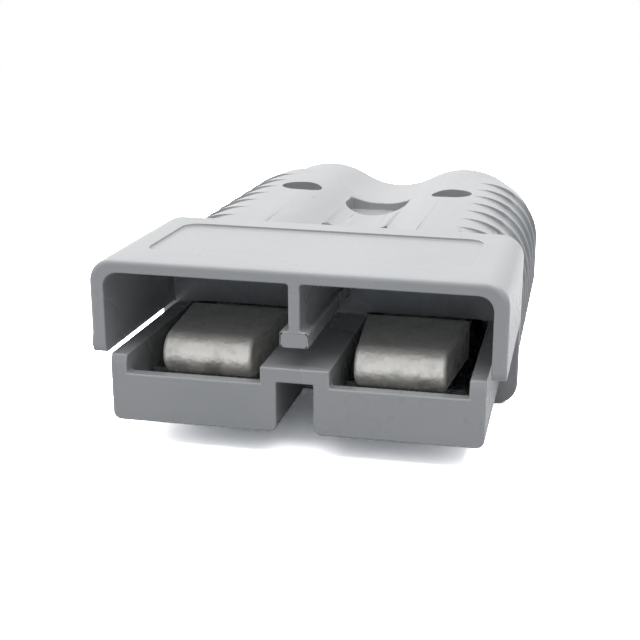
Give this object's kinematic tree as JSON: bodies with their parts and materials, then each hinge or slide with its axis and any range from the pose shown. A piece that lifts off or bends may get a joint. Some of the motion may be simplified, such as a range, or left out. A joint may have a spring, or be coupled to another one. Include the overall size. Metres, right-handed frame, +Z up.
{
  "type": "genderless power connector",
  "caption": "Genderless battery power connector: a moulded housing with a hood over a tray, sprung blade contacts and crimp barrels.",
  "frame": {"origin": "centre of the bounding box on the plane the connector rests on, the crests of the two barrels", "axes": "+Z up, towards the hood's roof; -Y the mating direction, out of the open front; +X across, towards the right-hand pole seen from the front"},
  "size_m": [0.0542, 0.0794, 0.0254],
  "materials": {
    "housing": "moulded polycarbonate, satin grey",
    "contact": "silver-plated copper, slightly tarnished",
    "spring": "stainless spring strip"
  },
  "bodies": {
    "root": {"housing": "housing", "contact_left": "contact", "contact_right": "contact", "spring_left": "spring", "spring_right": "spring"}
  },
  "joints": []
}
